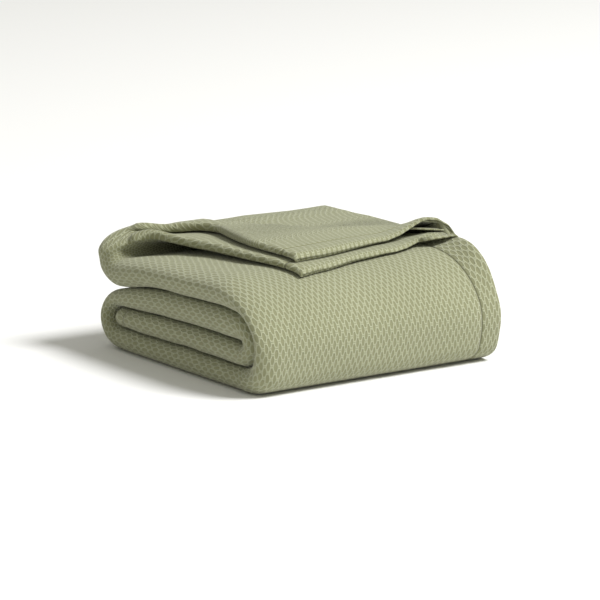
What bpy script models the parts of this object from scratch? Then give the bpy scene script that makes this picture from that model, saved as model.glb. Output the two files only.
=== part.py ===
"""A cotton throw blanket, folded into a four-layer strip and wound into a square stack.

The cloth is one sheet. It is folded twice lengthwise, which leaves one broad rounded fold on the
left (-X) side and the hems on the right (+X) side. That strip is then wound in the Y-Z plane:
a middle run, a turn at the front, a run above it, a wrap down the back, the bottom run, the
front face, a top run, a loose turn up at the back and a last run that comes forwards on top and
ends in two flaps of two layers.
"""

import math

import bmesh
import bpy

MM = 0.001
COLLECTION_NAME = "folded_cotton_blanket"
NODE_NAME = "blanket"

# Driving dimensions, in millimetres. X runs from the left folds to the right hems, Y from the
# front face to the back, and Z up from the surface that the blanket lies on.
CLOTH = 2.4
FOLD_CLOTH = 2.0
HEM = 3.0
HEM_WIDTH = 25.0
HEM_STEP = 2.5
FLAP_GAP = 3.0
FLAP_POCKET = 42.0
FLAP_POCKET_END = 90.0
FLAP_NOSE = 3.5
FOLD_CLEARANCE = 1.5
FOLD_ROOM = 0.06
DENT_DEPTH = 10.0
DENT_UP_TO = 0.3
DEEPEN_FROM = 0.4
DENT_STEADY = 0.8

# Each layer's number: a is the strip's outer side, d its inner side.
LAYER_A, LAYER_B, LAYER_C, LAYER_D = 3.0, 2.0, 1.0, 0.0
BETWEEN_FLAPS = 0.5 * (LAYER_B + LAYER_C)

# The strip's course. A row is one section across the strip: its inner side, which faces the core
# of the winding, and its outer side, each as (y, z); where the left fold starts on each side; how
# far in X each side rounds over; how much the fold is pinched in two; where the right end is; and
# how many steps lead to the next row.
COURSE_COLUMNS = (
    "inner_y", "inner_z", "outer_y", "outer_z",
    "left_inner", "left_outer", "round_inner", "round_outer", "pinch", "right", "steps",
)
MIDDLE_RUN = (
    (283.0, 42.5, 284.0, 26.5, 13.0, 13.0, 12.0, 12.0, 0.0, 296.0, 1),
    (276.9, 45.0, 276.9, 25.4, 6.0, 6.0, 12.0, 12.0, 0.0, 299.0, 1),
    (260.4, 46.4, 260.4, 24.9, 3.5, 3.5, 12.0, 12.0, 0.0, 300.0, 1),
    (191.4, 48.5, 191.4, 24.8, 3.0, 3.0, 12.0, 12.0, 0.0, 301.0, 1),
    (110.0, 49.0, 110.0, 25.0, 3.5, 3.5, 12.0, 12.0, 0.0, 300.0, 1),
    (58.0, 48.5, 56.0, 24.8, 3.0, 3.0, 12.0, 12.0, 0.0, 300.0, 1),
)
FRONT_TURN = (
    (48.0, 48.4, 38.0, 27.4, 3.0, 3.0, 12.0, 12.0, 0.0, 300.0, 2),
    (46.0, 49.3, 21.7, 41.5, 3.0, 3.0, 12.0, 12.0, 0.0, 300.0, 2),
    (46.0, 50.2, 24.0, 60.5, 3.0, 3.0, 12.0, 12.0, 0.0, 301.0, 2),
    (48.0, 51.0, 42.0, 75.0, 2.5, 2.5, 12.0, 12.0, 0.0, 302.0, 1),
)
UPPER_RUN = (
    (60.0, 51.2, 60.0, 78.6, 2.0, 2.0, 12.0, 12.0, 0.0, 303.0, 1),
    (120.0, 51.0, 120.0, 79.0, 2.0, 2.0, 12.0, 12.0, 0.0, 302.0, 2),
    (191.4, 50.4, 191.4, 77.5, 1.5, 1.5, 12.0, 12.0, 0.0, 301.0, 2),
    (244.6, 48.6, 242.5, 72.2, 2.0, 2.0, 12.0, 12.0, 0.0, 302.0, 1),
)
BACK_WRAP = (
    (265.6, 47.8, 269.7, 67.2, 3.0, 3.0, 12.0, 12.0, 0.0, 303.0, 1),
    (281.0, 45.4, 292.0, 60.5, 3.5, 3.5, 12.0, 12.0, 0.0, 303.0, 1),
    (290.0, 39.8, 307.5, 46.0, 4.0, 4.0, 12.0, 12.0, 0.0, 303.0, 1),
    (292.0, 33.5, 312.0, 30.5, 4.0, 4.0, 12.0, 12.0, 0.0, 302.0, 1),
    (289.5, 28.4, 307.5, 15.5, 4.0, 4.0, 12.0, 12.0, 0.0, 302.0, 1),
    (282.0, 25.0, 294.0, 4.0, 3.5, 3.5, 12.0, 12.0, 0.0, 302.0, 1),
)
BOTTOM_RUN = (
    (267.7, 24.0, 271.8, 0.0, 3.0, 3.0, 12.0, 12.0, 0.0, 302.0, 1),
    (191.4, 23.8, 191.4, 0.0, 2.0, 2.0, 12.0, 12.0, 0.0, 302.0, 1),
    (110.0, 23.9, 110.0, 0.0, 1.5, 1.5, 12.0, 12.0, 0.0, 301.0, 1),
    (56.0, 23.6, 56.0, 0.0, 1.5, 1.5, 12.0, 13.0, 0.0, 300.0, 1),
)
FRONT_FACE = (
    (38.0, 25.8, 25.0, 0.0, 1.0, 1.0, 12.0, 15.0, 0.0, 301.0, 1),
    (26.5, 31.5, 7.0, 10.7, 0.5, 0.5, 11.0, 19.0, 0.0, 303.0, 1),
    (20.2, 41.5, 0.5, 31.0, 0.0, 0.0, 10.0, 23.0, 0.0, 304.0, 2),
    (19.8, 54.0, -0.2, 53.0, 0.0, 0.0, 10.0, 25.0, 0.0, 305.0, 2),
    (25.0, 65.5, 7.6, 71.5, 0.0, 0.0, 10.0, 28.0, 0.0, 305.0, 2),
    (40.5, 77.2, 25.5, 90.5, 0.5, 0.5, 11.0, 30.0, 0.0, 305.0, 1),
)
TOP_RUN = (
    (60.0, 80.2, 52.0, 104.0, 0.5, 0.5, 12.0, 32.0, 0.0, 305.0, 2),
    (96.0, 81.0, 90.0, 111.0, 0.5, 0.5, 12.0, 32.0, 0.0, 304.0, 2),
    (150.0, 80.0, 148.0, 109.6, 0.0, 0.0, 12.0, 32.0, 0.0, 303.0, 2),
    (212.7, 78.0, 212.7, 106.5, 0.0, 0.0, 12.0, 30.0, 0.0, 303.0, 2),
)
BACK_TURN = (
    (259.4, 70.2, 261.5, 101.0, 0.0, 0.0, 12.0, 24.0, 0.0, 303.0, 1),
    (283.0, 69.4, 272.8, 98.5, 0.0, 0.0, 13.0, 18.0, 0.0, 303.0, 1),
    (303.0, 78.5, 277.5, 99.5, 0.0, 0.0, 15.0, 13.0, 0.0, 303.0, 2),
    (310.0, 92.0, 279.5, 102.5, 0.0, 0.0, 19.0, 12.0, 0.0, 303.0, 1),
    (311.5, 108.0, 280.0, 106.0, 0.0, 0.0, 21.0, 13.0, 0.0, 303.0, 2),
    (304.0, 121.5, 276.0, 110.5, 8.0, 8.0, 19.0, 13.0, 0.15, 303.0, 2),
    (286.0, 130.5, 268.0, 112.5, 36.0, 24.0, 15.0, 12.0, 0.4, 303.0, 2),
)
LAST_RUN = (
    (262.0, 134.0, 256.0, 113.5, 72.0, 42.0, 12.0, 10.0, 0.8, 303.0, 1),
    (229.8, 134.7, 229.8, 113.5, 95.0, 56.0, 8.0, 7.0, 1.0, 303.0, 2),
    (180.8, 134.3, 180.8, 113.3, 87.0, 66.0, 7.0, 7.0, 1.0, 303.0, 2),
    (130.0, 132.8, 130.0, 113.6, 82.0, 71.0, 7.0, 7.0, 1.0, 303.0, 2),
    (90.0, 130.4, 90.0, 112.4, 86.0, 78.0, 7.0, 7.0, 1.0, 303.0, 1),
    (66.0, 127.0, 66.0, 109.4, 89.0, 84.0, 7.0, 7.0, 1.0, 303.0, 1),
    (56.0, 124.1, 56.0, 106.5, 90.0, 86.0, 7.0, 7.0, 1.0, 303.0, 1),
    (50.0, 121.8, 50.0, 104.2, 90.0, 86.0, 7.0, 7.0, 1.0, 303.0, 1),
)
COURSE = (
    MIDDLE_RUN + FRONT_TURN + UPPER_RUN + BACK_WRAP
    + BOTTOM_RUN + FRONT_FACE + TOP_RUN + BACK_TURN + LAST_RUN
)
LAST_RUN_FROM = LAST_RUN[0][2]
LAST_RUN_TO = LAST_RUN[-1][2]

# The two flaps that the last run ends in. A row says, at x, where the lower and the upper flap
# end, how far each edge stands up off what is below it, and how thin the flaps are squeezed.
FLAP_EDGE_COLUMNS = ("x", "lower_y", "lower_lift", "upper_y", "upper_lift", "squash")
FLAP_EDGE = (
    (0.0, 30.0, 0.0, 50.0, 0.0, 1.0),
    (60.0, 44.0, 0.0, 62.0, 0.0, 1.0),
    (92.0, 51.0, 0.0, 68.0, 0.0, 1.0),
    (128.0, 58.0, 0.0, 72.0, 0.0, 1.0),
    (165.0, 68.0, 0.0, 79.0, 0.0, 0.95),
    (200.0, 73.0, 0.0, 87.0, 0.2, 0.85),
    (235.0, 79.0, 0.0, 95.0, 0.8, 0.7),
    (260.0, 87.0, 2.0, 101.0, 7.5, 0.58),
    (280.0, 88.0, 4.5, 99.0, 13.0, 0.5),
    (303.0, 76.0, 0.5, 80.0, 3.5, 0.5),
    (330.0, 60.0, 0.0, 60.0, 0.0, 0.5),
)
EDGE_STEPS = 6
FLAP_LIFT_REACH = 75.0
SQUASH_FROM_Y = 175.0
SQUASH_TO_Y = 100.0
FLAP_RECEDE = 2.0
# The pocket between the flaps deepens towards their ends.
POCKET_FROM_Y = 225.0
POCKET_TO_Y = 105.0

# Broad swells and dips of the upper runs, each growing with height between two levels.
SWELL_COLUMNS = ("x", "y", "reach_x", "reach_y", "height", "from_z", "to_z")
SWELLS = (
    (38.0, 256.0, 19.0, 30.0, 8.0, 103.0, 118.0),
    (72.0, 284.0, 26.0, 28.0, -5.0, 98.0, 130.0),
    (306.0, 62.0, 38.0, 46.0, 12.5, 45.0, 85.0),
)
# Behind its crest the top settles down to a flatter part.
PLATEAU_Z = 120.0
PLATEAU_SLOPE = 60.0
PLATEAU_SLOPE_LEFT = 0.5
PLATEAU_FROM_Z = 64.0
CREST_AT = (188.0, 143.0)
CREST_RIGHT = -0.28
CREST_LEFT = (0.45, 0.011)

SAGE_GREEN = (0.42, 0.44, 0.29, 1.0)
ROUGHNESS = 0.9
SHARP_EDGE = 50.0

# How finely the cloth is divided: the x where the outer layers a and d and the inner layers b
# and c are cut, the least gap between cuts, a hem's middle point, and the steps in a fold.
OUTER_CUTS = (235.0, 165.0, 115.0)
INNER_CUTS = (235.0, 165.0)
CUT_GAP = 0.8
HEM_CUT = 0.7
FOLD_STEPS = 3


def smooth(value):
    value = min(max(value, 0.0), 1.0)
    return value * value * (3.0 - 2.0 * value)


def mix(a, b, share):
    return a + (b - a) * share


def catmull(p0, p1, p2, p3, t):
    """Uniform Catmull-Rom from p1 to p2."""
    return 0.5 * (
        2.0 * p1
        + (p2 - p0) * t
        + (2.0 * p0 - 5.0 * p1 + 4.0 * p2 - p3) * t * t
        + (3.0 * p1 - p0 - 3.0 * p2 + p3) * t * t * t
    )


def course_sections():
    """The rows of COURSE, and smooth sections between them, as dictionaries."""
    sections = []
    last = len(COURSE) - 1
    for k in range(last):
        rows = [COURSE[min(max(k + d, 0), last)] for d in (-1, 0, 1, 2)]
        for step in range(rows[1][-1]):
            t = step / rows[1][-1]
            values = [catmull(*column, t) for column in zip(*rows)]
            sections.append(dict(zip(COURSE_COLUMNS, values)))
    sections.append(dict(zip(COURSE_COLUMNS, COURSE[last])))
    return sections


def fold_points(tip, start, end, depth, bulge):
    """A fold's centre line as (x, height), from height start to height end.

    Its tip is at x = tip, and it bulges to -X where bulge is -1 and to +X where it is 1.
    """
    points = []
    for k in range(FOLD_STEPS + 1):
        angle = math.pi * k / FOLD_STEPS
        x = tip - bulge * depth * (1.0 - math.sin(angle))
        points.append((x, mix(start, end, 0.5 - 0.5 * math.cos(angle))))
    return points


def layer_heights(total, pinch):
    """Heights of layers a, b, c and d over the strip's inner side: even, or in pairs."""
    half = 0.5 * CLOTH
    pitch = (total - CLOTH) / 3.0
    return (
        total - half,
        mix(half + 2.0 * pitch, 0.5 * (total + FLAP_GAP) + half, pinch),
        mix(half + pitch, 0.5 * (total - FLAP_GAP) - half, pinch),
        half,
    )


def cuts_between(left, right, cuts):
    """The x of each of these cuts, from right to left, kept between left and right."""
    last = len(cuts)
    return [
        min(max(cut, left + (last - k) * CUT_GAP), right - (k + 1) * CUT_GAP)
        for k, cut in enumerate(cuts)
    ]


def spread(start, end):
    """As many values as INNER_CUTS has, evenly between these two."""
    parts = len(INNER_CUTS) + 1
    return [mix(start, end, k / parts) for k in range(1, parts)]


def outer_fold(section, heights):
    """The left fold that joins layers a and d: one round nose, or two with a pocket between.

    It also gives the x from which the inner fold, of layers b and c, has room.
    """
    a, b, c, d = heights
    pinch = section["pinch"]
    tip_a = section["left_outer"] + 0.5 * CLOTH
    tip_d = section["left_inner"] + 0.5 * CLOTH
    dented = min(pinch / DENT_UP_TO, 1.0)
    parted = min(max((pinch - DENT_UP_TO) / (DEEPEN_FROM - DENT_UP_TO), 0.0), 1.0)
    deep = max((pinch - DEEPEN_FROM) / (1.0 - DEEPEN_FROM), 0.0)
    deeper = smooth((POCKET_FROM_Y - section["outer_y"]) / (POCKET_FROM_Y - POCKET_TO_Y))
    depth = mix(DENT_DEPTH, mix(FLAP_POCKET, FLAP_POCKET_END, deeper), deep)
    pocket = max(tip_a, tip_d) + depth
    upper = fold_points(tip_a, a, b, FLAP_NOSE, -1.0)
    middle = fold_points(pocket, b, c, 0.5 * (b - c), 1.0)
    lower = fold_points(tip_d, c, d, FLAP_NOSE, -1.0)
    split = upper + [(x, b) for x in spread(upper[-1][0], middle[0][0])]
    split += middle + [(x, c) for x in spread(middle[-1][0], lower[0][0])] + lower
    points = []
    for k, (split_x, height) in enumerate(split):
        even = 0.5 - 0.5 * math.cos(math.pi * k / (len(split) - 1))
        share = mix(even, (a - height) / (a - d), DENT_STEADY * dented)
        sine = 2.0 * math.sqrt(max(share * (1.0 - share), 0.0))
        nose = section["round_outer"] if share < 0.5 else section["round_inner"]
        x = mix(tip_a, tip_d, share) + nose * (1.0 - sine) + DENT_DEPTH * dented * sine**4
        points.append((mix(x, split_x, parted), mix(mix(a, d, share), height, parted)))
    spare = FOLD_ROOM * (section["round_outer"] + section["round_inner"])
    inside = 0.5 * (tip_a + tip_d) + CLOTH + spare + DENT_DEPTH * dented
    return points, mix(inside, pocket + CLOTH, parted)


def flat_line(left, right, height, layer, cuts):
    """A flat layer's points from its right end towards its left fold."""
    return [(x, height, layer, CLOTH) for x in [right] + cuts_between(left, right, cuts)]


def section_line(section):
    """The cloth's centre line across the strip, from the outer hem to the inner hem.

    Each point is (x, height over the strip's inner side, layer, thickness).
    """
    inner = (section["inner_y"], section["inner_z"])
    outer = (section["outer_y"], section["outer_z"])
    total = math.dist(inner, outer)
    a, b, c, d = layer_heights(total, section["pinch"])
    right = section["right"]
    hem = right - HEM_WIDTH
    seam = hem - HEM_STEP
    hem_height = total - 0.5 * HEM
    fold, inside = outer_fold(section, (a, b, c, d))
    right_fold = fold_points(right - 0.5 * CLOTH, d, c, 0.5 * (c - d), 1.0)
    inner_tip = inside + 0.5 * CLOTH + FOLD_CLEARANCE
    inner_fold = fold_points(inner_tip, c, b, 0.5 * (b - c), -1.0)
    hem_at = (right, mix(hem, right, HEM_CUT), hem)
    line = [(x, hem_height, LAYER_A, HEM) for x in hem_at]
    line += flat_line(fold[0][0], seam, a, LAYER_A, OUTER_CUTS)
    for k, (x, height) in enumerate(fold):
        line.append((x, height, LAYER_A * (1.0 - k / (len(fold) - 1.0)), FOLD_CLOTH))
    line += flat_line(fold[-1][0], seam, d, LAYER_D, OUTER_CUTS)[::-1]
    line += [(x, height, LAYER_D, FOLD_CLOTH) for x, height in right_fold]
    line += flat_line(inner_fold[0][0], seam, c, LAYER_C, INNER_CUTS)
    for k, (x, height) in enumerate(inner_fold):
        line.append((x, height, LAYER_C + k / FOLD_STEPS, FOLD_CLOTH))
    line += flat_line(inner_fold[-1][0], seam, b, LAYER_B, INNER_CUTS)[::-1]
    line += [(x, b, LAYER_B, HEM) for x in hem_at[::-1]]
    return line, total


def two_sides(line):
    """The cloth's two sides, each half its thickness away from the centre line."""
    sides = ([], [])
    last = len(line) - 1
    for k, (x, height, layer, thickness) in enumerate(line):
        before = line[max(k - 1, 0)]
        after = line[min(k + 1, last)]
        along_x = after[0] - before[0]
        along_height = after[1] - before[1] if 2 < k < last - 2 else 0.0
        scale = 0.5 * thickness / math.hypot(along_x, along_height)
        for side, sign in zip(sides, (1.0, -1.0)):
            side.append((x - sign * along_height * scale, height + sign * along_x * scale, layer))
    return sides


def bump(x, y, centre_x, centre_y, reach_x, reach_y):
    return math.exp(-(((x - centre_x) / reach_x) ** 2) - ((y - centre_y) / reach_y) ** 2)


def read_off(rows, at):
    """The values that the rows give at this place, between rows sorted by their first column."""
    for k in range(len(rows) - 1):
        if at <= rows[k + 1][0] or k == len(rows) - 2:
            share = min(max((at - rows[k][0]) / (rows[k + 1][0] - rows[k][0]), 0.0), 1.0)
            return [mix(p, q, share) for p, q in zip(rows[k][1:], rows[k + 1][1:])]


def flap_edges():
    """FLAP_EDGE with smooth rows between its own."""
    rows = []
    last = len(FLAP_EDGE) - 1
    for k in range(last):
        four = [FLAP_EDGE[min(max(k + d, 0), last)] for d in (-1, 0, 1, 2)]
        for step in range(EDGE_STEPS):
            rows.append([catmull(*column, step / EDGE_STEPS) for column in zip(*four)])
    rows.append(list(FLAP_EDGE[last]))
    return rows


def flap_point(x, y, share, layer, stack, edges):
    """A point of the last run, moved so that each flap ends at its own edge.

    Share is the point's height in the stack, from 0 below to 1 on top.
    """
    edge = dict(zip(FLAP_EDGE_COLUMNS[1:], read_off(edges, x)))
    lower = layer >= BETWEEN_FLAPS
    front = edge["lower_y"] if lower else edge["upper_y"]
    lift = edge["lower_lift"] if lower else edge["upper_lift"]
    nearer = LAYER_A if lower else LAYER_C
    farther = LAYER_B if lower else LAYER_D
    beneath = min(max((layer - farther) / (nearer - farther), 0.0), 1.0)
    run = (LAST_RUN_FROM - y) / (LAST_RUN_FROM - LAST_RUN_TO)
    ramp = smooth(2.0 * run)
    end = front + FLAP_RECEDE * beneath
    moved = mix(y, LAST_RUN_FROM - run * (LAST_RUN_FROM - end), ramp)
    bottom, top = read_off(stack, moved)
    thinning = smooth((SQUASH_FROM_Y - moved) / (SQUASH_FROM_Y - SQUASH_TO_Y))
    squash = mix(1.0, edge["squash"], thinning)
    z = bottom + share * (top - bottom) * squash
    z += lift * (1.0 - smooth((moved - front) / FLAP_LIFT_REACH))
    return x, moved, z


def crest(x):
    """The y of the top run's crest, and how far behind it the flatter part starts."""
    past = x - CREST_AT[0]
    if past > 0.0:
        return CREST_AT[1] + CREST_RIGHT * past, PLATEAU_SLOPE
    line = CREST_AT[1] + CREST_LEFT[0] * -past + CREST_LEFT[1] * past * past
    return line, PLATEAU_SLOPE + PLATEAU_SLOPE_LEFT * -past


def settled(x, y, z, crown):
    """The point moved by the swells and by the drop behind the crest, which both grow with height."""
    lift = 0.0
    for row in SWELLS:
        swell = dict(zip(SWELL_COLUMNS, row))
        near = bump(x, y, swell["x"], swell["y"], swell["reach_x"], swell["reach_y"])
        grown = smooth((z - swell["from_z"]) / (swell["to_z"] - swell["from_z"]))
        lift += swell["height"] * near * grown
    top = read_off(crown, y)[0]
    line, slope = crest(x)
    drop = max(top - PLATEAU_Z, 0.0) * smooth((y - line) / slope)
    drop *= smooth((z - PLATEAU_FROM_Z) / (PLATEAU_Z - PLATEAU_FROM_Z))
    return x, y, max(z + lift - drop, 0.0)


def steps_in(rows):
    return sum(row[-1] for row in rows)


def placed_ring(section, crown, stack, edges):
    """One section's two sides; stack is given only for a section of the last run."""
    line, total = section_line(section)
    ring = []
    for side in two_sides(line):
        placed = []
        for x, height, layer in side:
            share = height / total
            y = mix(section["inner_y"], section["outer_y"], share)
            z = mix(section["inner_z"], section["outer_z"], share)
            if stack:
                x, y, z = flap_point(x, y, 1.0 - share, layer, stack, edges)
            placed.append(settled(x, y, z, crown))
        ring.append(placed)
    return ring


def placed_rings():
    """For each section, its two sides as lists of points in the blanket's own frame."""
    sections = course_sections()
    last_run_at = len(sections) - steps_in(LAST_RUN[:-1]) - 1
    stack = sorted([s["outer_y"], s["outer_z"], s["inner_z"]] for s in sections[last_run_at:])
    crown_at = last_run_at - steps_in(BACK_TURN[-2:])
    crown = sorted([s["inner_y"], s["inner_z"]] for s in sections[crown_at:])
    edges = flap_edges()
    return [
        placed_ring(section, crown, stack if number >= last_run_at else None, edges)
        for number, section in enumerate(sections)
    ]


def centred(rings):
    """The same rings in metres, with the origin below the middle of the blanket's box."""
    points = [point for ring in rings for side in ring for point in side]
    centre_x = 0.5 * (min(p[0] for p in points) + max(p[0] for p in points))
    centre_y = 0.5 * (min(p[1] for p in points) + max(p[1] for p in points))
    return [
        [[((x - centre_x) * MM, (y - centre_y) * MM, z * MM) for x, y, z in side] for side in ring]
        for ring in rings
    ]


def cloth_mesh(name, rings):
    """Joins neighbouring sections with quads, and closes the two hem ends of the strip."""
    bm = bmesh.new()
    loops = []
    for front, back in rings:
        loops.append([bm.verts.new(point) for point in front + back[::-1]])
    count = len(loops[0])
    for here, there in zip(loops, loops[1:]):
        for k in range(count):
            after = (k + 1) % count
            corners = [here[k], here[after], there[after], there[k]]
            if k >= count // 2:
                corners = corners[1:] + corners[:1]
            bm.faces.new(corners[:3])
            bm.faces.new(corners[2:] + corners[:1])
    for loop in (loops[0], loops[-1]):
        for k in range(count // 2 - 1):
            bm.faces.new((loop[k], loop[k + 1], loop[count - 2 - k], loop[count - 1 - k]))
    bmesh.ops.recalc_face_normals(bm, faces=bm.faces)
    mesh = bpy.data.meshes.new(name)
    bm.to_mesh(mesh)
    bm.free()
    mesh.shade_smooth()
    mesh.set_sharp_from_angle(angle=math.radians(SHARP_EDGE))
    return mesh


def cotton_material():
    material = bpy.data.materials.new("sage_green_cotton")
    material.use_nodes = True
    shader = material.node_tree.nodes["Principled BSDF"]
    shader.inputs["Base Color"].default_value = SAGE_GREEN
    shader.inputs["Roughness"].default_value = ROUGHNESS
    shader.inputs["Metallic"].default_value = 0.0
    return material


def clear_scene():
    for obj in list(bpy.data.objects):
        bpy.data.objects.remove(obj, do_unlink=True)


def build():
    clear_scene()
    collection = bpy.data.collections.new(COLLECTION_NAME)
    bpy.context.scene.collection.children.link(collection)
    mesh = cloth_mesh(NODE_NAME, centred(placed_rings()))
    mesh.materials.append(cotton_material())
    blanket = bpy.data.objects.new(NODE_NAME, mesh)
    collection.objects.link(blanket)


build()
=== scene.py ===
"""Dresses the folded throw blanket: finely divided cloth, hems, weave, light and camera."""

import math

import bpy
from mathutils import Matrix, Vector, noise

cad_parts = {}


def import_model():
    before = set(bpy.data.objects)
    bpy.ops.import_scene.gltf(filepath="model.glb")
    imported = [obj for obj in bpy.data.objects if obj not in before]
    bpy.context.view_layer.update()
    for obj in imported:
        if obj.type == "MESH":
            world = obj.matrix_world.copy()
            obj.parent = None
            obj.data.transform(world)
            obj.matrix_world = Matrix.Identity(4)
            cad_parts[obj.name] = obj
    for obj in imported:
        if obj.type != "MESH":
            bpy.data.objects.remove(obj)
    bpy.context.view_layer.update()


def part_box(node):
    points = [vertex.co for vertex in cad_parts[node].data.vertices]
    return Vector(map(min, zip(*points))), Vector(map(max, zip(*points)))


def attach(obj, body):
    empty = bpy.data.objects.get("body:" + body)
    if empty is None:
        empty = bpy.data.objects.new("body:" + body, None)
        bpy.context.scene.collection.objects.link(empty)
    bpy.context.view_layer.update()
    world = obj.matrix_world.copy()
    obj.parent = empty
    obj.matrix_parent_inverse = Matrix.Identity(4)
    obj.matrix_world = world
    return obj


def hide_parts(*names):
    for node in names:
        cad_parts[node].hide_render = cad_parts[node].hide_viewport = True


MM = 0.001

# The cloth's thickness, flat and at its hems, and the hems' width. Sizes are in millimetres.
CLOTH = 3.2
HEM = 3.8
HEM_WIDTH = 25.0

# The four layers of the strip, from its outer side to its inner side.
LAYER_A, LAYER_B, LAYER_C, LAYER_D = 3.0, 2.0, 1.0, 0.0
BETWEEN_FLAPS = 0.5 * (LAYER_B + LAYER_C)

# The left folds: one round nose, which is dented, then parted into two flaps with a pocket between.
FLAP_GAP = 1.8
FLAP_POCKET = 42.0
FLAP_POCKET_END = 205.0
POCKET_FROM_Y = 225.0
POCKET_TO_Y = 105.0
FLAP_NOSE = 3.5
FOLD_CLEARANCE = 1.5
WEB_CLEARANCE = 0.2
WEB_ROUND = 0.15
FOLD_ROOM = 0.06
DENT_DEPTH = 10.0
DENT_UP_TO = 0.3
DEEPEN_FROM = 0.4
DENT_STEADY = 0.8

# The strip's course, as rows of sections: where the strip's inner and outer sides are, how far left
# each of them reaches, how round the left fold is at each, how far that fold is pinched into two
# flaps, how far right the hems reach, and the number of steps to the next row.
COURSE_COLUMNS = (
    "inner_y", "inner_z", "outer_y", "outer_z",
    "left_inner", "left_outer", "round_inner", "round_outer", "pinch", "right", "steps",
)
MIDDLE_RUN = (
    (283.0, 42.5, 284.0, 26.5, 13.0, 13.0, 12.0, 12.0, 0.0, 296.0, 4),
    (276.9, 45.0, 276.9, 25.4, 6.0, 6.0, 12.0, 12.0, 0.0, 299.0, 3),
    (260.4, 46.4, 260.4, 24.9, 3.5, 3.5, 12.0, 12.0, 0.0, 300.0, 8),
    (191.4, 48.5, 191.4, 24.8, 3.0, 3.0, 12.0, 12.0, 0.0, 301.0, 10),
    (110.0, 49.0, 110.0, 25.0, 3.5, 3.5, 12.0, 12.0, 0.0, 300.0, 7),
    (58.0, 48.5, 56.0, 24.8, 3.0, 3.0, 12.0, 12.0, 0.0, 300.0, 4),
)
FRONT_TURN = (
    (48.0, 48.4, 38.0, 27.4, 3.0, 3.0, 12.0, 12.0, 0.0, 300.0, 6),
    (46.0, 49.3, 21.7, 41.5, 3.0, 3.0, 12.0, 12.0, 0.0, 300.0, 6),
    (46.0, 50.2, 24.0, 60.5, 3.0, 3.0, 12.0, 12.0, 0.0, 301.0, 6),
    (48.0, 51.0, 42.0, 75.0, 2.5, 2.5, 12.0, 12.0, 0.0, 302.0, 4),
)
UPPER_RUN = (
    (60.0, 51.2, 60.0, 78.6, 2.0, 2.0, 12.0, 12.0, 0.0, 303.0, 8),
    (120.0, 51.0, 120.0, 79.0, 2.0, 2.0, 12.0, 12.0, 0.0, 302.0, 8),
    (191.4, 50.4, 191.4, 77.5, 1.5, 1.5, 12.0, 12.0, 0.0, 301.0, 7),
    (244.6, 48.6, 242.5, 72.2, 2.0, 2.0, 12.0, 12.0, 0.0, 302.0, 4),
)
BACK_WRAP = (
    (265.6, 47.8, 269.7, 67.2, 3.0, 3.0, 12.0, 12.0, 0.0, 303.0, 4),
    (281.0, 45.4, 292.0, 60.5, 3.5, 3.5, 12.0, 12.0, 0.0, 303.0, 4),
    (290.0, 39.8, 307.5, 46.0, 4.0, 4.0, 12.0, 12.0, 0.0, 303.0, 4),
    (292.0, 33.5, 312.0, 30.5, 4.0, 4.0, 12.0, 12.0, 0.0, 302.0, 4),
    (289.5, 28.4, 307.5, 15.5, 4.0, 4.0, 12.0, 12.0, 0.0, 302.0, 4),
    (282.0, 25.0, 294.0, 4.0, 3.5, 3.5, 12.0, 12.0, 0.0, 302.0, 4),
)
BOTTOM_RUN = (
    (267.7, 24.0, 271.8, 0.0, 3.0, 3.0, 12.0, 12.0, 0.0, 302.0, 6),
    (191.4, 23.8, 191.4, 0.0, 2.0, 2.0, 12.0, 12.0, 0.0, 302.0, 8),
    (110.0, 23.9, 110.0, 0.0, 1.5, 1.5, 12.0, 12.0, 0.0, 301.0, 6),
    (56.0, 23.6, 56.0, 0.0, 1.5, 1.5, 12.0, 13.0, 0.0, 300.0, 5),
)
FRONT_FACE = (
    (38.0, 25.8, 25.0, 0.0, 1.0, 1.0, 12.0, 15.0, 0.0, 301.0, 6),
    (26.5, 31.5, 7.0, 10.7, 0.5, 0.5, 11.0, 19.0, 0.0, 303.0, 6),
    (20.2, 41.5, 0.5, 31.0, 0.0, 0.0, 10.0, 23.0, 0.0, 304.0, 6),
    (19.8, 54.0, -0.2, 53.0, 0.0, 0.0, 10.0, 25.0, 0.0, 305.0, 6),
    (25.0, 65.5, 7.6, 71.5, 0.0, 0.0, 10.0, 28.0, 0.0, 305.0, 6),
    (40.5, 77.2, 25.5, 90.5, 0.5, 0.5, 11.0, 30.0, 0.0, 305.0, 6),
)
TOP_RUN = (
    (60.0, 80.2, 52.0, 104.0, 0.5, 0.5, 12.0, 32.0, 0.0, 305.0, 8),
    (96.0, 81.0, 90.0, 111.0, 0.5, 0.5, 12.0, 32.0, 0.0, 304.0, 8),
    (150.0, 80.0, 148.0, 109.6, 0.0, 0.0, 12.0, 32.0, 0.0, 303.0, 8),
    (212.7, 78.0, 212.7, 106.5, 0.0, 0.0, 12.0, 30.0, 0.0, 303.0, 6),
)
BACK_TURN = (
    (259.4, 70.2, 261.5, 101.0, 0.0, 0.0, 12.0, 24.0, 0.0, 303.0, 4),
    (283.0, 69.4, 272.8, 98.5, 0.0, 0.0, 13.0, 18.0, 0.0, 303.0, 6),
    (303.0, 78.5, 277.5, 99.5, 0.0, 0.0, 15.0, 13.0, 0.0, 303.0, 6),
    (310.0, 92.0, 279.5, 102.5, 0.0, 0.0, 19.0, 12.0, 0.0, 303.0, 6),
    (311.5, 108.0, 280.0, 106.0, 0.0, 0.0, 21.0, 13.0, 0.0, 303.0, 8),
    (304.0, 121.5, 276.0, 110.5, 8.0, 8.0, 19.0, 13.0, 0.15, 303.0, 8),
    (286.0, 130.5, 268.0, 112.5, 36.0, 24.0, 15.0, 12.0, 0.4, 303.0, 8),
)
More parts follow.
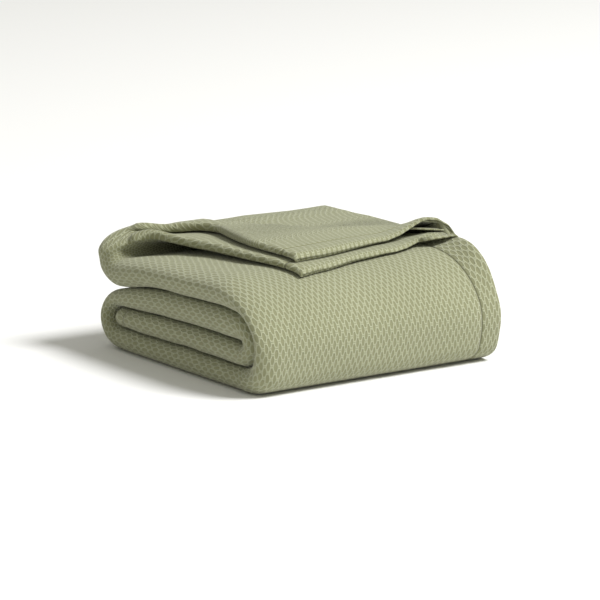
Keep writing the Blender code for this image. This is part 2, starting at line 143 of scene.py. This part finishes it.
LAST_RUN = (
    (262.0, 134.0, 256.0, 113.5, 72.0, 42.0, 12.0, 10.0, 0.8, 303.0, 8),
    (229.8, 134.7, 229.8, 113.5, 95.0, 56.0, 8.0, 7.0, 1.0, 303.0, 8),
    (180.8, 134.3, 180.8, 113.3, 87.0, 66.0, 7.0, 7.0, 1.0, 303.0, 9),
    (130.0, 132.8, 130.0, 113.6, 82.0, 71.0, 7.0, 7.0, 1.0, 303.0, 8),
    (90.0, 130.4, 90.0, 112.4, 86.0, 78.0, 7.0, 7.0, 1.0, 303.0, 18),
    (66.0, 127.0, 66.0, 109.4, 89.0, 84.0, 7.0, 7.0, 1.0, 303.0, 5),
    (56.0, 124.1, 56.0, 106.5, 90.0, 86.0, 7.0, 7.0, 1.0, 303.0, 6),
    (50.0, 121.8, 50.0, 104.2, 90.0, 86.0, 7.0, 7.0, 1.0, 303.0, 1),
)
COURSE = (
    MIDDLE_RUN + FRONT_TURN + UPPER_RUN + BACK_WRAP
    + BOTTOM_RUN + FRONT_FACE + TOP_RUN + BACK_TURN + LAST_RUN
)
LAST_RUN_FROM = LAST_RUN[0][2]
LAST_RUN_TO = LAST_RUN[-1][2]

# The least x and y of the course, which put the same place on the origin as in the part.
LOW_X = 0.23
LOW_Y = -0.74

# The flaps of the last run, by x: each front edge's y, lift and droop, and how flat both flaps are.
FLAP_EDGE_COLUMNS = (
    "x", "lower_y", "lower_lift", "lower_droop", "upper_y", "upper_lift", "upper_droop", "squash",
)
FLAP_EDGE = (
    (0.0, 30.0, 0.0, 0.0, 50.0, 0.0, 0.0, 1.0),
    (60.0, 44.0, 0.0, 0.0, 62.0, 0.0, 0.0, 1.0),
    (92.0, 51.0, 0.0, 0.0, 68.0, 0.0, 0.0, 1.0),
    (128.0, 58.0, 0.0, 0.0, 72.0, 0.0, 0.0, 1.0),
    (165.0, 68.0, 0.0, 0.0, 79.0, 0.0, 0.0, 0.95),
    (200.0, 73.0, 0.0, 0.0, 87.0, 0.2, 0.0, 0.85),
    (235.0, 79.0, 0.0, 0.0, 95.0, 0.8, 0.0, 0.7),
    (260.0, 87.0, 2.5, 0.0, 101.0, 8.0, 0.0, 0.58),
    (280.0, 88.0, 7.0, 0.0, 99.0, 16.5, 0.0, 0.5),
    (292.0, 83.0, 4.5, 0.3, 92.0, 15.0, 1.5, 0.48),
    (298.0, 78.0, 1.5, 0.6, 83.0, 8.5, 1.5, 0.46),
    (303.0, 70.0, -2.2, 1.0, 74.0, -6.0, 0.0, 0.45),
    (308.0, 64.0, -6.0, 1.0, 66.0, -16.0, 0.0, 0.45),
)
EDGE_STEPS = 6
FLAP_RAMP = 2.0
FLAP_LIFT_REACH = 40.0
FLAP_DROOP_REACH = 14.0
FLAP_RECEDE = 3.5
FLAP_CURL = 3.0
FLAP_CURL_REACH = 5.0
SQUASH_FROM_Y = 175.0
SQUASH_TO_Y = 100.0

# Bulges and hollows of the whole stack, which grow from one height to another.
SWELL_COLUMNS = ("x", "y", "reach_x", "reach_y", "height", "from_z", "to_z")
SWELLS = (
    (38.0, 256.0, 19.0, 30.0, 8.0, 103.0, 118.0),
    (72.0, 284.0, 26.0, 28.0, -5.0, 98.0, 130.0),
    (306.0, 52.0, 16.0, 52.0, 15.0, 45.0, 85.0),
)

# Behind a curved crest the top drops to a plateau.
PLATEAU_Z = 120.0
PLATEAU_FROM_Z = 64.0
PLATEAU_SLOPE = 60.0
PLATEAU_SLOPE_LEFT = 0.5
CREST_AT = (188.0, 143.0)
CREST_RIGHT = -0.28
CREST_LEFT = (0.45, 0.011)

# How finely the cloth is divided.
LAYER_CUTS = tuple(268.0 - 20.0 * k for k in range(11))
RIGHT_CUTS = (26.0, 21.5, 17.0, 13.0, 9.5)
CUT_GAP = 0.8
FOLD_STEPS = 8

# Hem profile: distance in from the cut edge, and the hem's thickness there.
HEM_PROFILE = (
    (0.0, 1.6), (0.6, 3.0), (2.0, 3.7), (4.5, 3.8), (8.0, 3.9), (11.5, 3.9),
    (16.0, 3.9), (21.5, 3.8), (23.4, 3.0), (24.6, 1.5), (25.8, 2.4), (28.5, CLOTH),
)
HEM_REACH = HEM_PROFILE[-1][0]
HEM_TO_FLAT = 3.0
HEM_LEAST = 1.2

# Soft unevenness of the whole stack: wavelengths and amplitudes, and the height where it fades out.
WAVES = ((85.0, 1.3), (38.0, 0.7), (17.0, 0.28))
WAVE_SHIFT = Vector((0.0, 1.9, 4.1))
WAVE_APART = Vector((7.3, 0.0, 0.0))
WAVE_FLOOR = 14.0
WAVE_SEED = 3

# The weave: rows of a raised yarn that waves up and down. The yarn's sizes are shares of a stitch.
STITCH_ACROSS = 7.2
STITCH_ALONG = 6.4
ROW_SHIFT = 0.5
YARN_RISE = 0.36
YARN_HALF = 0.18
YARN_SQUARE = 1.8
YARN_FUZZ = 0.25
YARN_LEAST = 0.75
STITCH_WOBBLE = 0.5

# The sewn line of the hem: a groove, with painted shade along it.
SEAM_HALF = 1.3
SEAM_DEPTH = 1.2
SEAM_SHADE = 0.5

# Scale and detail of the noise that moves the stitches, roughens the yarn and varies the dye.
WOBBLE_NOISE = (60.0, 2.0)
YARN_NOISE = (900.0, 2.0)
DYE_NOISE = (14.0, 3.0)

# Colours, each in two tones of dye that vary at random, and the surface. The groove tones are
# painted shade: darker copies of the crown tones for the shade between the raised yarn.
GROOVE_SHADE_TONES = ((0.240, 0.245, 0.136, 1.0), (0.264, 0.269, 0.153, 1.0))
CROWN_TONES = ((0.376, 0.389, 0.253, 1.0), (0.408, 0.422, 0.277, 1.0))
# The seam colour is painted shade along the sewn line's groove.
SEAM_SHADE_COLOUR = (0.150, 0.150, 0.075, 1.0)
COTTON_SURFACE = {
    "Roughness": 0.92,
    "Specular IOR Level": 0.18,
    "Sheen Weight": 0.25,
    "Sheen Roughness": 0.55,
}
COTTON_RELIEF = {"Strength": 0.8, "Distance": 0.0011}

# The floor, the light and the camera, in metres and degrees. The camera stands to the left of the
# front, a little above, far off with a long lens.
FLOOR_HALF = 6.0
FLOOR_DROP = 0.0005
FLOOR_SURFACE = {"Base Color": (0.92, 0.92, 0.92, 1.0), "Roughness": 0.9}
KEY_PLACE = (2.7, -2.9, 5.2)
KEY_AIM = (0.0, 0.0, 0.05)
KEY_SIZE = 2.6
KEY_POWER = 490.0
WORLD_LIGHT = {"Color": (1.0, 0.99, 0.9, 1.0), "Strength": 0.42}
CAMERA_TURN = 35.3
CAMERA_DOWN = 12.17
CAMERA_FROM_CORNER = (-2.0886, -3.0176, 0.8949)
LENS = 226.5
SENSOR_WIDTH = 36.0
VIEW_END = 40.0


def smooth(value):
    value = min(max(value, 0.0), 1.0)
    return value * value * (3.0 - 2.0 * value)


def mix(a, b, share):
    return a + (b - a) * share


def catmull(p0, p1, p2, p3, t):
    """Uniform Catmull-Rom from p1 to p2."""
    return 0.5 * (
        2.0 * p1
        + (p2 - p0) * t
        + (2.0 * p0 - 5.0 * p1 + 4.0 * p2 - p3) * t * t
        + (3.0 * p1 - p0 - 3.0 * p2 + p3) * t * t * t
    )


def course_sections():
    """The rows of COURSE, and smooth sections between them, as dictionaries."""
    sections = []
    last = len(COURSE) - 1
    for k in range(last):
        rows = [COURSE[min(max(k + d, 0), last)] for d in (-1, 0, 1, 2)]
        for step in range(rows[1][-1]):
            t = step / rows[1][-1]
            values = [catmull(*column, t) for column in zip(*rows)]
            sections.append(dict(zip(COURSE_COLUMNS, values)))
    sections.append(dict(zip(COURSE_COLUMNS, COURSE[last])))
    return sections


def fold_points(tip, start, end, depth, bulge):
    """A fold's centre line as (x, height), from height start to height end."""
    points = []
    for k in range(FOLD_STEPS + 1):
        angle = math.pi * k / FOLD_STEPS
        x = tip - bulge * depth * (1.0 - math.sin(angle))
        points.append((x, mix(start, end, 0.5 - 0.5 * math.cos(angle))))
    return points


def layer_heights(total, pinch):
    """Heights of layers a, b, c and d over the strip's inner side: even, or in pairs."""
    half = 0.5 * CLOTH
    pitch = (total - CLOTH) / 3.0
    return (
        total - half,
        mix(half + 2.0 * pitch, 0.5 * (total + FLAP_GAP) + half, pinch),
        mix(half + pitch, 0.5 * (total - FLAP_GAP) - half, pinch),
        half,
    )


def cuts_between(left, right):
    """The x of each of LAYER_CUTS, from right to left, kept between these two."""
    last = len(LAYER_CUTS)
    return [
        min(max(cut, left + (last - k) * CUT_GAP), right - (k + 1) * CUT_GAP)
        for k, cut in enumerate(LAYER_CUTS)
    ]


def spread(start, end):
    """As many values as LAYER_CUTS has, evenly between these two."""
    parts = len(LAYER_CUTS) + 1
    return [mix(start, end, k / parts) for k in range(1, parts)]


def outer_fold(section, heights):
    """The left fold that joins layers a and d: one round nose, or two with a pocket between.

    It also gives the x from which the inner fold, of layers b and c, has room.
    """
    a, b, c, d = heights
    pinch = section["pinch"]
    tip_a = section["left_outer"] + 0.5 * CLOTH
    tip_d = section["left_inner"] + 0.5 * CLOTH
    dented = min(pinch / DENT_UP_TO, 1.0)
    parted = min(max((pinch - DENT_UP_TO) / (DEEPEN_FROM - DENT_UP_TO), 0.0), 1.0)
    deep = max((pinch - DEEPEN_FROM) / (1.0 - DEEPEN_FROM), 0.0)
    deeper = smooth((POCKET_FROM_Y - section["outer_y"]) / (POCKET_FROM_Y - POCKET_TO_Y))
    depth = mix(DENT_DEPTH, mix(FLAP_POCKET, FLAP_POCKET_END, deeper), deep)
    pocket = max(tip_a, tip_d) + depth
    upper = fold_points(tip_a, a, b, FLAP_NOSE, -1.0)
    middle = fold_points(pocket, b, c, mix(0.5, WEB_ROUND, deep) * (b - c), 1.0)
    lower = fold_points(tip_d, c, d, FLAP_NOSE, -1.0)
    split = upper + [(x, b) for x in spread(upper[-1][0], middle[0][0])]
    split += middle + [(x, c) for x in spread(middle[-1][0], lower[0][0])] + lower
    points = []
    for k, (split_x, height) in enumerate(split):
        even = 0.5 - 0.5 * math.cos(math.pi * k / (len(split) - 1))
        share = mix(even, (a - height) / (a - d), DENT_STEADY * dented)
        sine = 2.0 * math.sqrt(max(share * (1.0 - share), 0.0))
        nose = section["round_outer"] if share < 0.5 else section["round_inner"]
        x = mix(tip_a, tip_d, share) + nose * (1.0 - sine) + DENT_DEPTH * dented * sine**4
        points.append((mix(x, split_x, parted), mix(mix(a, d, share), height, parted)))
    spare = FOLD_ROOM * (section["round_outer"] + section["round_inner"])
    inside = 0.5 * (tip_a + tip_d) + CLOTH + spare + DENT_DEPTH * dented
    return points, mix(inside, pocket + 0.5 * CLOTH, parted)


def hem_thickness(distance):
    """The hem's thickness at this distance from its cut edge."""
    for (d0, t0), (d1, t1) in zip(HEM_PROFILE, HEM_PROFILE[1:]):
        if distance <= d1:
            return mix(t0, t1, (distance - d0) / (d1 - d0))
    return CLOTH


def hem_line(right, height, layer):
    return [(right - distance, height, layer, thickness) for distance, thickness in HEM_PROFILE]


def flat_line(left, right, height, layer):
    """A flat layer's points from its right end towards its left fold."""
    return [(x, height, layer, CLOTH) for x in [right] + cuts_between(left, right)]


def section_line(section):
    """The cloth's centre line across the strip, from the outer hem to the inner hem."""
    inner = (section["inner_y"], section["inner_z"])
    outer = (section["outer_y"], section["outer_z"])
    total = math.dist(inner, outer)
    a, b, c, d = layer_heights(total, section["pinch"])
    right = section["right"]
    past_hem = right - HEM_REACH - HEM_TO_FLAT
    fold, inside = outer_fold(section, (a, b, c, d))
    right_fold = fold_points(right - 0.5 * CLOTH, d, c, 0.5 * (c - d), 1.0)
    pinch = section["pinch"]
    inner_tip = inside + 0.5 * CLOTH + mix(FOLD_CLEARANCE, WEB_CLEARANCE, pinch)
    inner_fold = fold_points(inner_tip, c, b, mix(0.5, WEB_ROUND, pinch) * (b - c), -1.0)
    line = hem_line(right, total - 0.5 * HEM, LAYER_A)
    line += flat_line(fold[0][0], past_hem, a, LAYER_A)
    for k, (x, height) in enumerate(fold):
        line.append((x, height, LAYER_A * (1.0 - k / (len(fold) - 1.0)), CLOTH))
    line += flat_line(fold[-1][0], past_hem, d, LAYER_D)[::-1]
    line += [(right - distance, d, LAYER_D, CLOTH) for distance in RIGHT_CUTS]
    line += [(x, height, LAYER_D, CLOTH) for x, height in right_fold]
    line += [(right - distance, c, LAYER_C, CLOTH) for distance in RIGHT_CUTS[::-1]]
    line += flat_line(inner_fold[0][0], past_hem, c, LAYER_C)
    for k, (x, height) in enumerate(inner_fold):
        line.append((x, height, LAYER_C + k / FOLD_STEPS, CLOTH))
    line += flat_line(inner_fold[-1][0], past_hem, b, LAYER_B)[::-1]
    line += hem_line(right, b, LAYER_B)[::-1]
    return line, total


def across_distances(line):
    """How far along the cloth each point of the section lies."""
    found = [0.0]
    for p, q in zip(line, line[1:]):
        found.append(found[-1] + math.hypot(q[0] - p[0], q[1] - p[1]))
    return found


def two_sides(line, pressed):
    """The cloth's two sides, each half its thickness away from the centre line."""
    sides = ([], [])
    last = len(line) - 1
    hem = len(HEM_PROFILE)
    for k, (x, height, layer, thickness) in enumerate(line):
        before = line[max(k - 1, 0)]
        after = line[min(k + 1, last)]
        along_x = after[0] - before[0]
        along_height = after[1] - before[1] if hem <= k <= last - hem else 0.0
        scale = 0.5 * min(thickness, pressed) / math.hypot(along_x, along_height)
        for side, sign in zip(sides, (1.0, -1.0)):
            side.append((x - sign * along_height * scale, height + sign * along_x * scale, layer))
    return sides


def bump(x, y, centre_x, centre_y, reach_x, reach_y):
    return math.exp(-(((x - centre_x) / reach_x) ** 2) - ((y - centre_y) / reach_y) ** 2)


def read_off(rows, at):
    """The values that the rows give at this place, between rows sorted by their first column."""
    for k in range(len(rows) - 1):
        if at <= rows[k + 1][0] or k == len(rows) - 2:
            share = min(max((at - rows[k][0]) / (rows[k + 1][0] - rows[k][0]), 0.0), 1.0)
            return [mix(p, q, share) for p, q in zip(rows[k][1:], rows[k + 1][1:])]


def flap_edges():
    """FLAP_EDGE with smooth rows between its own."""
    rows = []
    last = len(FLAP_EDGE) - 1
    for k in range(last):
        four = [FLAP_EDGE[min(max(k + d, 0), last)] for d in (-1, 0, 1, 2)]
        for step in range(EDGE_STEPS):
            rows.append([catmull(*column, step / EDGE_STEPS) for column in zip(*four)])
    rows.append(list(FLAP_EDGE[last]))
    return rows


def flap_point(x, y, share, layer, stack, edges):
    """A point of the last run, moved so that each flap ends at its own edge.

    Share is the point's height in the stack, from 0 below to 1 on top.
    """
    edge = dict(zip(FLAP_EDGE_COLUMNS[1:], read_off(edges, x)))
    lower = layer >= BETWEEN_FLAPS
    front = edge["lower_y"] if lower else edge["upper_y"]
    lift = edge["lower_lift"] if lower else edge["upper_lift"]
    droop = edge["lower_droop"] if lower else edge["upper_droop"]
    nearer = LAYER_A if lower else LAYER_C
    farther = LAYER_B if lower else LAYER_D
    beneath = min(max((layer - farther) / (nearer - farther), 0.0), 1.0)
    run = (LAST_RUN_FROM - y) / (LAST_RUN_FROM - LAST_RUN_TO)
    ramp = smooth(FLAP_RAMP * run)
    end = front + FLAP_RECEDE * beneath
    moved = mix(y, LAST_RUN_FROM - run * (LAST_RUN_FROM - end), ramp)
    bottom, top = read_off(stack, moved)
    thinning = smooth((SQUASH_FROM_Y - moved) / (SQUASH_FROM_Y - SQUASH_TO_Y))
    squash = mix(1.0, edge["squash"], thinning)
    z = bottom + share * (top - bottom) * squash
    z += lift * (1.0 - smooth((moved - front) / FLAP_LIFT_REACH))
    z -= droop * max(1.0 - (moved - front) / FLAP_DROOP_REACH, 0.0) ** 2
    curl = max(1.0 - (moved - end) / FLAP_CURL_REACH, 0.0)
    return x, moved, z - FLAP_CURL * squash * curl * curl * (1.0 - beneath)


def crest(x):
    """The y of the top run's crest, and how far behind it the flatter part starts."""
    past = x - CREST_AT[0]
    if past > 0.0:
        return CREST_AT[1] + CREST_RIGHT * past, PLATEAU_SLOPE
    line = CREST_AT[1] + CREST_LEFT[0] * -past + CREST_LEFT[1] * past * past
    return line, PLATEAU_SLOPE + PLATEAU_SLOPE_LEFT * -past


def settled(x, y, z, crown):
    """The point moved by the swells and the drop behind the crest, which grow with its height."""
    lift = 0.0
    for row in SWELLS:
        swell = dict(zip(SWELL_COLUMNS, row))
        near = bump(x, y, swell["x"], swell["y"], swell["reach_x"], swell["reach_y"])
        grown = smooth((z - swell["from_z"]) / (swell["to_z"] - swell["from_z"]))
        lift += swell["height"] * near * grown
    top = read_off(crown, y)[0]
    line, slope = crest(x)
    drop = max(top - PLATEAU_Z, 0.0) * smooth((y - line) / slope)
    drop *= smooth((z - PLATEAU_FROM_Z) / (PLATEAU_Z - PLATEAU_FROM_Z))
    return x, y, max(z + lift - drop, 0.0)


def uneven(x, y, z):
    """The point moved a little by a smooth noise, which dies out towards the floor."""
    moved = Vector((0.0, 0.0, 0.0))
    for number, (wave, amplitude) in enumerate(WAVES):
        place = Vector((x, y, z)) / wave + number * WAVE_APART + WAVE_SHIFT
        moved += amplitude * noise.noise_vector(place)
    fade = smooth(z / WAVE_FLOOR)
    return x + moved.x * fade, y + moved.y * fade, max(z + moved.z * fade, 0.0)


def steps_in(rows):
    return sum(row[-1] for row in rows)


def placed_ring(section, crown, stack, edges, pressed):
    """One section's two sides, and how far along the cloth each of their points lies."""
    line, total = section_line(section)
    ring = []
    for side in two_sides(line, pressed):
        placed = []
        for x, height, layer in side:
            share = height / total
            y = mix(section["inner_y"], section["outer_y"], share)
            z = mix(section["inner_z"], section["outer_z"], share)
            if stack:
                x, y, z = flap_point(x, y, 1.0 - share, layer, stack, edges)
            placed.append(uneven(*settled(x, y, z, crown)))
        ring.append(placed)
    return ring, across_distances(line)


def run_distances(sections):
    """How far along the strip each section lies, measured on whichever side is longer."""
    found = [0.0]
    for p, q in zip(sections, sections[1:]):
        inner = math.hypot(q["inner_y"] - p["inner_y"], q["inner_z"] - p["inner_z"])
        outer = math.hypot(q["outer_y"] - p["outer_y"], q["outer_z"] - p["outer_z"])
        found.append(found[-1] + max(inner, outer))
    return found


def placed_rings():
    """For each section: its two sides, the distance across at each point, and along."""
    sections = course_sections()
    along = run_distances(sections)
    last_run_at = len(sections) - steps_in(LAST_RUN[:-1]) - 1
    stack = sorted([s["outer_y"], s["outer_z"], s["inner_z"]] for s in sections[last_run_at:])
    edges = flap_edges()
    crown_at = last_run_at - steps_in(BACK_TURN[-2:])
    crown = sorted([s["inner_y"], s["inner_z"]] for s in sections[crown_at:])
    rings = []
    for number, section in enumerate(sections):
        edge = min(along[number], along[-1] - along[number])
        pressed = max(hem_thickness(edge), HEM_LEAST) if edge < HEM_REACH else math.inf
        in_last_run = number >= last_run_at
        ring, across = placed_ring(
            section, crown, stack if in_last_run else None, edges, pressed
        )
        rings.append((ring, across, along[number]))
    return rings


def cloth_mesh(name, rings, centre_x, centre_y):
    """Joins neighbouring sections with quads, closes the hem ends and lays out the UV map."""
    points = []
    place = []
    for (front, back), across, along in rings:
        for x, y, z in front + back[::-1]:
            points.append(((x - centre_x) * MM, (y - centre_y) * MM, z * MM))
        for distance in across + across[::-1]:
            place.append((distance * MM, along * MM))
    count = len(rings[0][1]) * 2
    faces = []
    for here in range(0, count * (len(rings) - 1), count):
        for k in range(count):
            after = (k + 1) % count
            faces.append((here + k, here + after, here + count + after, here + count + k))
    for first in (0, count * (len(rings) - 1)):
        for k in range(count // 2 - 1):
            faces.append((first + k, first + k + 1, first + count - 2 - k, first + count - 1 - k))
    mesh = bpy.data.meshes.new(name)
    mesh.from_pydata(points, [], faces)
    layout = mesh.uv_layers.new(name="cloth")
    for loop in mesh.loops:
        layout.data[loop.index].uv = place[loop.vertex_index]
    mesh.validate()
    mesh.shade_smooth()
    return mesh


class Nodes:
    """Short calls for building a node tree."""

    def __init__(self, tree):
        self.tree = tree

    def add(self, kind, **settings):
        node = self.tree.nodes.new(kind)
        for key, value in settings.items():
            setattr(node, key, value)
        return node

    def feed(self, value, socket):
        if isinstance(value, bpy.types.NodeSocket):
            self.tree.links.new(value, socket)
        else:
            socket.default_value = value

    def math(self, operation, *values):
        node = self.add("ShaderNodeMath", operation=operation)
        for value, socket in zip(values, node.inputs):
            self.feed(value, socket)
        return node.outputs[0]

    def noise(self, vector, scale, detail):
        """Smooth noise from 0 to 1."""
        node = self.add("ShaderNodeTexNoise")
        self.feed(vector, node.inputs["Vector"])
        node.inputs["Scale"].default_value = scale
        node.inputs["Detail"].default_value = detail
        return node.outputs["Fac"]

    def blend(self, share, first, second):
        """A colour between these two."""
        node = self.add("ShaderNodeMix", data_type="RGBA")
        self.feed(share, node.inputs["Factor"])
        self.feed(first, node.inputs["A"])
        self.feed(second, node.inputs["B"])
        return node.outputs["Result"]


def set_inputs(node, values):
    for name, value in values.items():
        node.inputs[name].default_value = value


def stitches(n, u, v):
    """Height of the weave, from 0 to 1: one raised yarn in each row, which waves up and down."""
    row = n.math("FLOOR", v)
    level = n.math("SUBTRACT", n.math("SUBTRACT", v, row), 0.5)
    turn = n.math("MULTIPLY", n.math("ADD", u, n.math("MULTIPLY", row, ROW_SHIFT)), math.tau)
    wave = n.math("TANH", n.math("MULTIPLY", n.math("SINE", turn), YARN_SQUARE))
    rise = n.math("MULTIPLY", wave, YARN_RISE)
    steep = n.math("MULTIPLY", n.math("COSINE", turn), YARN_RISE * YARN_SQUARE * math.tau)
    steep = n.math("MULTIPLY", steep, n.math("SUBTRACT", 1.0, n.math("MULTIPLY", wave, wave)))
    slope = n.math("SQRT", n.math("ADD", 1.0, n.math("MULTIPLY", steep, steep)))
    away = n.math("DIVIDE", n.math("SUBTRACT", level, rise), n.math("MULTIPLY", slope, YARN_HALF))
    return n.math("MAXIMUM", n.math("SUBTRACT", 1.0, n.math("MULTIPLY", away, away)), 0.0)


def seams(n, across, along, size):
    """From 0 to 1: the sewn line of the hem along each of the cloth's four edges."""
    found = 0.0
    for place, whole in zip((across, along), size):
        for line in (HEM_WIDTH, whole - HEM_WIDTH):
            away = n.math("ABSOLUTE", n.math("SUBTRACT", place, line * MM))
            near = n.math("SUBTRACT", 1.0, n.math("DIVIDE", away, SEAM_HALF * MM))
            found = n.math("MAXIMUM", found, near)
    return found


def cotton_material(size):
    """Sage-green cotton with waving stitches that follow the cloth, and the hems' sewn lines, with
    painted shade in the weave's grooves and along the sewn lines.
    """
    material = bpy.data.materials.new("sage_green_cotton_weave")
    material.use_nodes = True
    n = Nodes(material.node_tree)
    shader = material.node_tree.nodes["Principled BSDF"]
    layout = n.add("ShaderNodeUVMap", uv_map="cloth")
    split = n.add("ShaderNodeSeparateXYZ")
    n.feed(layout.outputs["UV"], split.inputs[0])
    wobble = n.noise(layout.outputs["UV"], *WOBBLE_NOISE)
    nudge = n.math("MULTIPLY", n.math("SUBTRACT", wobble, 0.5), STITCH_WOBBLE)
    u = n.math("ADD", n.math("DIVIDE", split.outputs["X"], STITCH_ACROSS * MM), nudge)
    v = n.math("ADD", n.math("DIVIDE", split.outputs["Y"], STITCH_ALONG * MM), nudge)
    sewn = seams(n, split.outputs["X"], split.outputs["Y"], size)
    height = n.math("MAXIMUM", n.math("SUBTRACT", stitches(n, u, v), sewn), 0.0)
    yarn = n.noise(layout.outputs["UV"], *YARN_NOISE)
    relief = n.math("ADD", height, n.math("MULTIPLY", yarn, YARN_FUZZ))
    relief = n.math("SUBTRACT", relief, n.math("MULTIPLY", sewn, SEAM_DEPTH))
    dye = n.noise(layout.outputs["UV"], *DYE_NOISE)
    # Painted shade: the colour runs from the dark groove tones in the weave's low parts to the
    # crown tones on the raised yarn.
    painted_groove_shade = n.blend(dye, *GROOVE_SHADE_TONES)
    crown = n.blend(dye, *CROWN_TONES)
    raised = n.math("MULTIPLY", height, n.math("ADD", YARN_LEAST, yarn))
    colour = n.blend(raised, painted_groove_shade, crown)
    # Painted shade along the hems' sewn lines.
    colour = n.blend(n.math("MULTIPLY", sewn, SEAM_SHADE), colour, SEAM_SHADE_COLOUR)
    n.feed(colour, shader.inputs["Base Color"])
    set_inputs(shader, COTTON_SURFACE)
    bumps = n.add("ShaderNodeBump")
    set_inputs(bumps, COTTON_RELIEF)
    n.feed(relief, bumps.inputs["Height"])
    n.feed(bumps.outputs["Normal"], shader.inputs["Normal"])
    return material


def make_blanket(centre_x, centre_y):
    rings = placed_rings()
    mesh = cloth_mesh("woven_blanket", rings, centre_x, centre_y)
    blanket = bpy.data.objects.new("woven_blanket", mesh)
    blanket.data.materials.append(cotton_material((rings[0][1][-1], rings[-1][2])))
    bpy.context.scene.collection.objects.link(blanket)
    return blanket


def make_floor():
    mesh = bpy.data.meshes.new("floor")
    corners = [
        (x * FLOOR_HALF, y * FLOOR_HALF, 0.0) for x, y in ((-1, -1), (1, -1), (1, 1), (-1, 1))
    ]
    mesh.from_pydata(corners, [], [(0, 1, 2, 3)])
    floor = bpy.data.objects.new("floor", mesh)
    material = bpy.data.materials.new("pale_floor")
    material.use_nodes = True
    set_inputs(material.node_tree.nodes["Principled BSDF"], FLOOR_SURFACE)
    floor.data.materials.append(material)
    floor.location.z = -FLOOR_DROP
    bpy.context.scene.collection.objects.link(floor)
    return floor


def make_light():
    """One wide, soft lamp and a pale world."""
    light = bpy.data.lights.new("key", "AREA")
    light.shape = "DISK"
    light.size = KEY_SIZE
    light.energy = KEY_POWER
    lamp = bpy.data.objects.new("key", light)
    lamp.location = KEY_PLACE
    aim = Vector(KEY_AIM) - Vector(KEY_PLACE)
    lamp.rotation_euler = aim.to_track_quat("-Z", "Y").to_euler()
    bpy.context.scene.collection.objects.link(lamp)
    world = bpy.data.worlds.new("studio")
    world.use_nodes = True
    set_inputs(world.node_tree.nodes["Background"], WORLD_LIGHT)
    bpy.context.scene.world = world


def make_camera(corner):
    """The camera, placed from the course's left front corner on the floor."""
    data = bpy.data.cameras.new("camera")
    data.lens = LENS
    data.sensor_width = SENSOR_WIDTH
    data.clip_end = VIEW_END
    camera = bpy.data.objects.new("camera", data)
    turn = Matrix.Rotation(math.radians(-CAMERA_TURN), 4, "Z")
    tilt = Matrix.Rotation(math.radians(90.0 - CAMERA_DOWN), 4, "X")
    place = Vector(corner) + Vector(CAMERA_FROM_CORNER)
    camera.matrix_world = Matrix.Translation(place) @ turn @ tilt
    bpy.context.scene.collection.objects.link(camera)
    bpy.context.scene.camera = camera


def main():
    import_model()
    low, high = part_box("blanket")
    centre_x = 0.5 * (high[0] - low[0]) / MM + LOW_X
    centre_y = 0.5 * (high[1] - low[1]) / MM + LOW_Y
    noise.seed_set(WAVE_SEED)
    blanket = make_blanket(centre_x, centre_y)
    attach(blanket, "root")
    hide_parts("blanket")
    floor = make_floor()
    make_light()
    make_camera((-centre_x * MM, -centre_y * MM, 0.0))
    bpy.context.scene.view_settings.view_transform = "Standard"


main()
